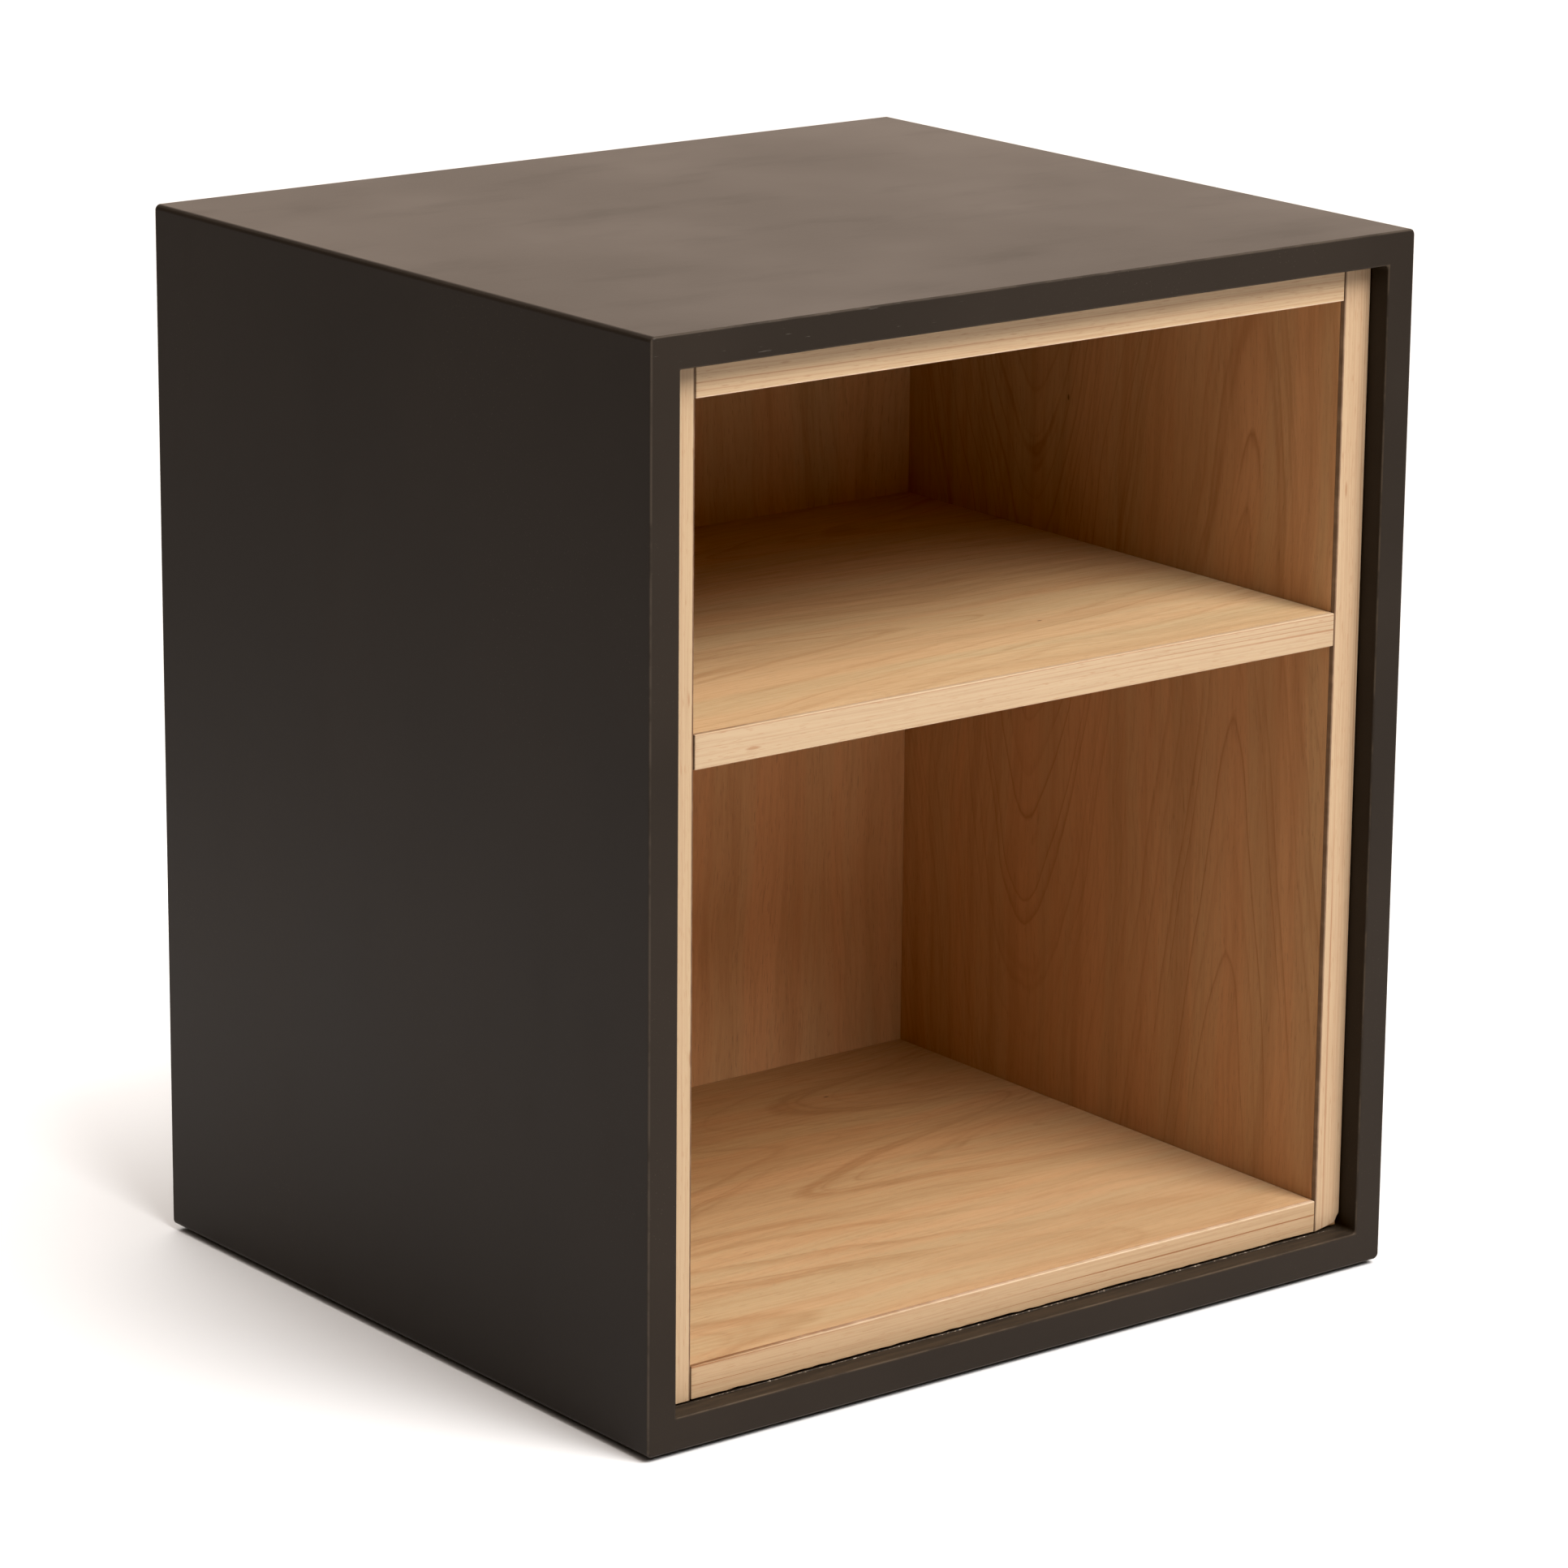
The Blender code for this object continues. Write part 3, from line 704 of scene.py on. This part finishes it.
def arc(centre, radius, start, end, steps):
    """Profile points and their normals along an arc, angles in degrees."""
    made = []
    for k in range(steps + 1):
        angle = radians(start + (end - start) * k / steps)
        normal = (cos(angle), sin(angle))
        made.append(((centre[0] + radius * normal[0], centre[1] + radius * normal[1]), normal))
    return made


def casing_profile(front, rear, ledge):
    """Section of a casing board as (depth into the board, y) with normals, from its outer face round."""
    a, b = FRONT_ARRIS, REAR_ARRIS
    path = []
    path += arc((a, front + a), a, 180, 270, ARRIS_SEGMENTS)
    path += arc((BOARD - a, front + a), a, 270, 360, ARRIS_SEGMENTS)
    path += [((BOARD, ledge - b), (1, 0))]
    path += [((BOARD - b, ledge), (0, 1)), ((REBATE_LIP, ledge), (0, 1))]
    path += [((REBATE_LIP, ledge), (1, 0)), ((REBATE_LIP, rear - b), (1, 0))]
    path += arc((REBATE_LIP - b, rear - b), b, 0, 90, 2)[1:]
    path += arc((b, rear - b), b, 90, 180, 2)
    return path


def on_circle(centre, radius, out):
    """The point of an upright circle in that direction from its centre."""
    return Vector((centre[0] + radius * out[0], 0, centre[1] + radius * out[1]))


def ring_stations(half_width, half_height, middle):
    """Matching outer and inner points round the casing, with their outward directions, corner by corner."""
    corners = []
    for quarter in range(4):
        side = 1 if quarter in (0, 3) else -1
        rise = 1 if quarter in (0, 1) else -1
        fillet = INNER_CORNERS[quarter]
        inset = BOARD + fillet
        outer = (side * (half_width - OUTER_CORNER), middle + rise * (half_height - OUTER_CORNER))
        inner = (side * (half_width - inset), middle + rise * (half_height - inset))
        stations = []
        for k in range(CORNER_SEGMENTS + 1):
            angle = radians(90 * quarter + 90 * k / CORNER_SEGMENTS)
            out = (cos(angle), sin(angle))
            outer_point = on_circle(outer, OUTER_CORNER, out)
            inner_point = on_circle(inner, fillet, out)
            stations.append((outer_point, inner_point, Vector((out[0], 0, out[1]))))
        corners.append(stations)
    return corners


def swept_rows(stations, path):
    """The swept points, and each station's index for each profile point. Points that coincide share one."""
    vertices = []
    rows = []
    for outer, inner, _ in stations:
        row = []
        last = None
        for (depth, y), _ in path:
            if last is None or hypot(depth - last[0], y - last[1]) >= SAME_POINT:
                last = (depth, y)
                point = outer.lerp(inner, depth / BOARD)
                vertices.append((point.x, y, point.z))
            row.append(len(vertices) - 1)
        rows.append(row)
    return vertices, rows


def edge_normals(path, p, q):
    """The profile's normals at both ends of an edge: as given where they suit it, or else square to it."""
    (p_depth, p_y), (q_depth, q_y) = path[p][0], path[q][0]
    flat = Vector((q_y - p_y, p_depth - q_depth)).normalized()
    given = (Vector(path[p][1]), Vector(path[q][1]))
    return [normal if normal.dot(flat) > NORMAL_AGREES else flat for normal in given]


def casing_board(name, stations, path):
    """One mitred board swept through those stations. Its normals match its neighbours' at the mitres."""
    vertices, rows = swept_rows(stations, path)
    faces = []
    normals = []
    for s in range(len(stations) - 1):
        for p in range(len(path)):
            q = (p + 1) % len(path)
            if rows[s][p] == rows[s][q]:
                continue
            at_p, at_q = edge_normals(path, p, q)
            corners = ((s, p, at_p), (s + 1, p, at_p), (s + 1, q, at_q), (s, q, at_q))
            faces.append([rows[station][point] for station, point, _ in corners])
            for station, _, (inward, rearward) in corners:
                out = stations[station][2]
                normals.append(Vector((-inward * out.x, rearward, -inward * out.z)).normalized())
    for end in (rows[0], rows[-1][::-1]):
        faces.append(list(dict.fromkeys(end)))
    mesh = bpy.data.meshes.new(name)
    mesh.from_pydata(vertices, [], faces)
    mesh.update()
    for mitre in mesh.polygons[-2:]:
        normals += [mitre.normal.copy()] * mitre.loop_total
    for polygon in mesh.polygons:
        polygon.use_smooth = True
    if sum(polygon.normal.dot(normals[polygon.loop_start]) for polygon in mesh.polygons) < 0:
        raise RuntimeError(f"{name} is inside out")
    mesh.normals_split_custom_set(normals)
    return mesh


def build_casing():
    """The four boards. Each runs from the middle of one rounded corner to the middle of the next."""
    half = (CASING_HIGH - CASING_LOW) / 2
    middle = (CASING_LOW.z + CASING_HIGH.z) / 2
    corners = ring_stations(half.x, half.z, middle)
    section = casing_profile(CASING_LOW.y, CASING_HIGH.y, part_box("rear_cover")[0][1] - REBATE_GAP)
    paint = satin_paint("paint_satin_brown", CASING_PAINT, CASING_LOW, CASING_HIGH)
    mitre = CORNER_SEGMENTS // 2
    for quarter, board in enumerate(CASING_BOARDS):
        run = corners[quarter][mitre:] + corners[(quarter + 1) % 4][: mitre + 1]
        mesh = casing_board(f"painted_{board}", run, section)
        new_piece(f"painted_{board}", mesh, paint, "paint", f"casing_{board}")


build_casing()


# ---------------------------------------------------------------- lippings

# Each lipping's tint, and how strongly one of its bands is figured. The tints are partly painted light:
# the top lipping is toned lighter against the shade the top rail casts on it, and each is toned to how
# brightly it is lit.
LIPPING_LOOKS = {
    "lipping_side_left": ((0.80, 0.82, 0.83), 1.0),
    "lipping_side_right": ((0.82, 0.83, 0.85), 0.9),
    "lipping_top": ((0.90, 0.92, 0.92), 0.9),
    "lipping_shelf": ((0.79, 0.82, 0.85), 1.0),
    "lipping_bottom": ((0.75, 0.745, 0.715), 1.7),
}
LIPPING_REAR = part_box("liner_shelf")[0][1] - LIPPING_SEAM
# Painted shade: a dark line along the inner edges of the uprights' lippings
INNER_EDGE_SHADE = (0.085, 0.040, 0.018)
GLUE_BROWN = (0.20, 0.105, 0.050)
# A painted highlight along the level lippings' arrises
ARRIS_HIGHLIGHT = (0.72, 0.57, 0.45)

# The right lipping's foot is chipped within this width and height, by up to this much
FOOT_WIDTH = 0.0055
FOOT_HEIGHT = 0.008
FOOT_CHIP = 0.0026

# Points this near a lipping's front, or its lower side, belong to that side
FRONT_BAND = 0.001
LOWER_BAND = 0.0008


def edge_lines(name, low, high):
    """Painted shade lines along the uprights' inner edges, painted highlights along the level lippings'
    arrises, and brown glue lines on the shelf's and the bottom's lippings.
    """
    if name == "lipping_side_left":
        return [EdgeLine("x", high[0] - 0.0014, high[0] - 0.0008, INNER_EDGE_SHADE, 0.85, 0.20, *EVERYWHERE)]
    if name == "lipping_side_right":
        return [EdgeLine("x", low[0] + 0.0011, low[0] + 0.0006, INNER_EDGE_SHADE, 0.70, 0.30, *EVERYWHERE)]
    if name == "lipping_top":
        return [EdgeLine("z", low[2] + 0.0010, low[2] + 0.0004, ARRIS_HIGHLIGHT, 0.50, 0.3, *EVERYWHERE)]
    if name == "lipping_shelf":
        pale = EdgeLine("z", high[2] - 0.0008, high[2] - 0.0003, ARRIS_HIGHLIGHT, 0.12, 0.5, -0.20, -0.10)
        rear = LIPPING_REAR
        return [pale, EdgeLine("y", rear - 0.0030, rear - 0.0016, GLUE_BROWN, 0.75, 0.5, -0.14, -0.20)]
    pale = EdgeLine("z", high[2] - 0.0008, high[2] - 0.0003, ARRIS_HIGHLIGHT, 0.42, 0.5, -0.20, -0.10)
    return [pale, EdgeLine("z", high[2] - 0.0005, high[2] - 0.0001, GLUE_BROWN, 0.60, 0.5, 0.02, -0.16)]


def hand_finish(point, low, seed):
    """The front of a lipping wanders by about a tenth of a millimetre along its length."""
    if point.y < low[1] + FRONT_BAND:
        drift = noise.noise(Vector((point.x * 14, seed, point.z * 14)))
        flutter = noise.noise(Vector((point.x * 60, seed + 5, point.z * 60)))
        point.y += LIPPING_SWELL * (0.5 + 0.5 * drift) * 0.6 + LIPPING_SWELL * 0.2 * flutter
    return point


def wear_foot(point, low, high):
    """The right lipping's foot is chipped at its outer corner and rounded over."""
    across = (high[0] - point.x) / FOOT_WIDTH
    rise = (point.z - low[2]) / FOOT_HEIGHT
    reach = hypot(max(across, 0), max(rise, 0))
    if reach < 1:
        bite = (1 - reach) * FOOT_CHIP
        ragged = 1 + 0.5 * noise.noise(point * 900)
        point.x -= bite * ragged
        point.z += bite * ragged * 0.8
        point.y += bite * 0.35 if point.y < low[1] + FRONT_BAND else 0
    return point


def wear_underside(point, low):
    """The bottom lipping's lower edge is ragged."""
    if point.z < low[2] + LOWER_BAND:
        ragged = noise.noise(Vector((point.x * 34, 0, 7))) + 0.6 * noise.noise(Vector((point.x * 150, 0, 9)))
        point.z += max(0.0, 0.0003 + 0.0006 * ragged)
    return point


def lipping_shape(name, low, high, seed):
    """The function that shapes one lipping's points."""

    def shape(point):
        point = hand_finish(point, low, seed)
        if name == "lipping_side_right":
            point = wear_foot(point, low, high)
        if name == "lipping_bottom":
            point = wear_underside(point, low)
        return point

    return shape


def build_lipping(name, look):
    """One lipping, a hair clear of the board behind it. A level one ends just short of the uprights."""
    tint, figure = look
    lines = edge_lines(name, *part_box(name))
    low, high = (list(corner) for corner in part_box(name))
    high[1] = LIPPING_REAR
    along, across = "z", "x"
    if name in LIPPING_END_GAPS:
        along, across = "x", "z"
        left_gap, right_gap = LIPPING_END_GAPS[name]
        low[0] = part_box("lipping_side_left")[1][0] + left_gap
        high[0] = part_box("lipping_side_right")[0][0] - right_gap
    seed = 3.0 * len(name) + sum(map(ord, name)) % 17
    wood = lipping_wood(f"wood_{name}", along, across, seed, tint, figure, lines)
    shape = lipping_shape(name, low, high, seed)
    mesh = board_mesh(f"solid_{name}", low, high, LIPPING_ARRIS, LIPPING_STEP, shape)
    weighted(new_piece(f"solid_{name}", mesh, wood, "lipping", name))


for lipping_name, lipping_look in LIPPING_LOOKS.items():
    build_lipping(lipping_name, lipping_look)


# ---------------------------------------------------------------- hardened glue under the liner


def bead_radius(x, share, ends):
    """The bead's radius at one place: lumpy, thicker towards its right end and closed at both."""
    coarse = max(0.0, noise.noise(Vector((x * 90, BEAD_SEED, 0))))
    crumbs = max(0.0, noise.noise(Vector((x * 420, BEAD_SEED, 2))))
    lump = coarse + 0.6 * crumbs
    return (BEAD_RADIUS + BEAD_REACH * (0.60 + share**3) * lump) * ends + BEAD_TIP


def glue_bead(name, start, end, y, z):
    """A ragged line of hardened glue along the joint."""
    made = bmesh.new()
    count = int((end - start) / BEAD_STEP)
    rows = []
    for k in range(count + 1):
        x = start + (end - start) * k / count
        ends = min(1.0, 6 * k / count, 6 * (count - k) / count)
        radius = bead_radius(x, k / count, ends)
        row = []
        for j in range(BEAD_SIDES):
            angle = 2 * pi * j / BEAD_SIDES
            rough = 1 + 0.35 * noise.noise(Vector((x * 700, j * 3.1, BEAD_SEED)))
            dy = radius * rough * cos(angle)
            dz = radius * rough * sin(angle)
            row.append(made.verts.new((x, y - 0.6 * radius + dy, z + max(dz, -0.00002))))
        rows.append(row)
    for first, second in zip(rows, rows[1:]):
        for j in range(BEAD_SIDES):
            k = (j + 1) % BEAD_SIDES
            made.faces.new((first[j], second[j], second[k], first[k]))
    made.faces.new(rows[0])
    made.faces.new(rows[-1][::-1])
    bmesh.ops.recalc_face_normals(made, faces=made.faces)
    return finished_mesh(made, name)


def build_glue():
    """The bead lies on the casing's bottom board, along the liner's front."""
    low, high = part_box("lipping_side_left")[0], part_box("lipping_side_right")[1]
    start, end = low[0] + BEAD_START, high[0] - BEAD_END
    bead = glue_bead("glue_residue", start, end, low[1], CASING_LOW.z + BOARD)
    new_piece("glue_residue", bead, hard_glue("joint_filler"), "lipping")


build_glue()


# ---------------------------------------------------------------- rear cover and its screws

# A screw head's rings, as (share of its radius, place behind its face), and its cross recess
HEAD_RINGS = (
    (0.40, -0.0016),
    (0.55, -0.0012),
    (1.0, -0.00035),
    (1.0, -0.00012),
    (0.94, 0.0),
    (0.62, -0.00002),
)
HEAD_STEPS = 48
RECESS_TOP = -0.00003
RECESS_FLOOR = -0.0010
RECESS_TAPER = 0.6


def screw_head(name, centre, radius, rear, turn):
    """A countersunk cross-head screw seen from behind: a shallow dished head with a tapered cross recess."""
    made = bmesh.new()
    angles = [2 * pi * k / HEAD_STEPS for k in range(HEAD_STEPS)]
    mouths = [radius * (0.56 - 0.37 * min(1.0, abs(sin(2 * angle)) * 2.4)) for angle in angles]
    outlines = [([radius * share] * HEAD_STEPS, depth) for share, depth in HEAD_RINGS]
    outlines.append((mouths, RECESS_TOP))
    outlines.append(([mouth * RECESS_TAPER for mouth in mouths], RECESS_FLOOR))
    rows = []
    for reaches, depth in outlines:
        points = [(reach * cos(angle), depth, reach * sin(angle)) for reach, angle in zip(reaches, angles)]
        rows.append([made.verts.new(point) for point in points])
    for first, second in zip(rows, rows[1:]):
        for k in range(HEAD_STEPS):
            after = (k + 1) % HEAD_STEPS
            made.faces.new((first[k], first[after], second[after], second[k]))
    made.faces.new(rows[-1])
    made.faces.new(rows[0][::-1])
    bmesh.ops.recalc_face_normals(made, faces=made.faces)
    spin = Matrix.Translation((centre[0], rear, centre[1])) @ Matrix.Rotation(turn, 4, "Y")
    bmesh.ops.transform(made, matrix=spin, verts=made.verts)
    return finished_mesh(made, name, HEAD_SHARP)


def build_rear_cover():
    """The cover panel, and a screw head for each of its screws."""
    low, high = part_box("rear_cover")
    paint = satin_paint("paint_rear_cover", COVER_PAINT, low, high)
    panel = board_mesh("painted_rear_cover", low, high, COVER_ARRIS)
    weighted(new_piece("painted_rear_cover", panel, paint, "cover_paint", "rear_cover"))
    for number in range(1, COVER_SCREWS + 1):
        screw_low, screw_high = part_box(f"rear_cover_screw_{number}")
        centre = ((screw_low[0] + screw_high[0]) / 2, (screw_low[2] + screw_high[2]) / 2)
        radius = (screw_high[0] - screw_low[0]) / 2
        head = screw_head(f"cover_screw_{number}", centre, radius, high[1] + SCREW_PROUD, SCREW_TURN * number)
        new_piece(f"cover_screw_{number}", head, ZINC, "steel", f"rear_cover_screw_{number}")


build_rear_cover()


# ---------------------------------------------------------------- studio


def outward(azimuth, elevation):
    """The direction from the cabinet towards that azimuth, which is 0 in front of it, and that elevation."""
    flat = cos(elevation)
    return Vector((sin(azimuth) * flat, -cos(azimuth) * flat, sin(elevation)))


def studio_floor():
    """A pale floor. Glossy faces see it fade away from the cabinet, as the lit patch of a studio does."""
    made = bmesh.new()
    bmesh.ops.create_grid(made, x_segments=8, y_segments=8, size=FLOOR_SIZE)
    floor = into_scene("studio_floor", finished_mesh(made, "studio_floor"))
    g = Surface("floor_white")
    shade = g.mix(g.noise(g.scaled(3.0)), FLOOR_DULL, FLOOR_PALE)
    away = g.node("ShaderNodeVectorMath", {0: g.place()}, operation="LENGTH").outputs["Value"]
    mirrored = g.mix(g.span(away, *LIT_PATCH), shade, FLOOR_FAR)
    shade = g.mix(g.ray("Glossy"), shade, mirrored)
    floor.data.materials.append(g.finish(shade, 0.85, Specular_IOR_Level=0.1))
    return floor


def studio_world():
    """A dim room with soft light overhead, and plain white where the camera sees past the floor."""
    world = bpy.data.worlds.new("studio")
    world.use_nodes = True
    bpy.context.scene.world = world
    g = Nodes(world.node_tree)
    rise = g.split(g.node("ShaderNodeTexCoord", {}).outputs["Generated"])["Z"]
    room = g.mix(g.span(rise, *OVERHEAD_RISE), ROOM_DIM, OVERHEAD, "ADD")
    g.feed(g.tree.nodes["Background"].inputs["Color"], g.mix(g.ray("Camera"), room, BACKDROP))


def key_light():
    """A very soft sun from the front."""
    light = bpy.data.lights.new("key", "SUN")
    light.energy = KEY_STRENGTH
    light.angle = KEY_ANGLE
    light.color = KEY_COLOUR
    obj = into_scene("key", light)
    obj.rotation_euler = outward(KEY_AZIMUTH, KEY_ELEVATION).to_track_quat("Z", "Y").to_euler()


def soft_box(name, place, size, power, colour):
    """A rectangular soft box turned towards the cabinet. The camera doesn't see it."""
    light = bpy.data.lights.new(name, "AREA")
    light.shape = "RECTANGLE"
    light.size, light.size_y = size
    light.energy = power
    light.color = colour
    obj = into_scene(name, light)
    obj.location = place
    obj.rotation_euler = (Vector(place) - AIM).to_track_quat("Z", "Y").to_euler()
    obj.visible_camera = False
    return obj


def link_to_floor(lamp, floor, state):
    """The lamp lights the floor alone (INCLUDE), or everything but the floor (EXCLUDE)."""
    receivers = bpy.data.collections.new(f"{lamp.name}_receivers")
    receivers.objects.link(floor)
    lamp.light_linking.receiver_collection = receivers
    receivers.collection_objects[0].light_linking.link_state = state


def studio_lights(floor):
    """A soft key and fill in front, a warm panel behind, and a wash on the floor behind."""
    key_light()
    soft_box("fill", FILL_PLACE, FILL_SIZE, FILL_POWER, SOFT_WHITE)
    panel = soft_box("rear_panel", PANEL_PLACE, PANEL_SIZE, PANEL_POWER, PANEL_COLOUR)
    link_to_floor(panel, floor, "EXCLUDE")
    wash = soft_box("rear_floor_wash", WASH_PLACE, WASH_SIZE, WASH_POWER, SOFT_WHITE)
    wash.rotation_euler = (0.0, 0.0, 0.0)
    link_to_floor(wash, floor, "INCLUDE")


def studio_camera():
    """The camera, looking back along its direction from the cabinet and rolled a little."""
    camera = bpy.data.cameras.new("camera")
    camera.lens = LENS
    camera.sensor_width = SENSOR
    camera.clip_start = 0.05
    camera.clip_end = 100.0
    back = outward(CAMERA_AZIMUTH, CAMERA_ELEVATION)
    right = (-back).cross(Vector((0, 0, 1))).normalized()
    up = right.cross(-back)
    rolled_right = cos(CAMERA_ROLL) * right + sin(CAMERA_ROLL) * up
    rolled_up = cos(CAMERA_ROLL) * up - sin(CAMERA_ROLL) * right
    basis = Matrix((rolled_right, rolled_up, back)).transposed().to_4x4()
    obj = into_scene("camera", camera)
    obj.matrix_world = Matrix.Translation(CAMERA_PLACE) @ basis
    bpy.context.scene.camera = obj


def picture_tones():
    """Plain tones with a slightly steeper middle and a small black level."""
    settings = bpy.context.scene.view_settings
    settings.view_transform = "Standard"
    settings.look = "None"
    settings.use_curve_mapping = True
    settings.curve_mapping.black_level = (BLACK_LEVEL,) * 3
    contrast = settings.curve_mapping.curves[3]
    for level, output in CONTRAST:
        contrast.points.new(level, output)
    settings.curve_mapping.update()


studio_lights(studio_floor())
studio_world()
studio_camera()
picture_tones()
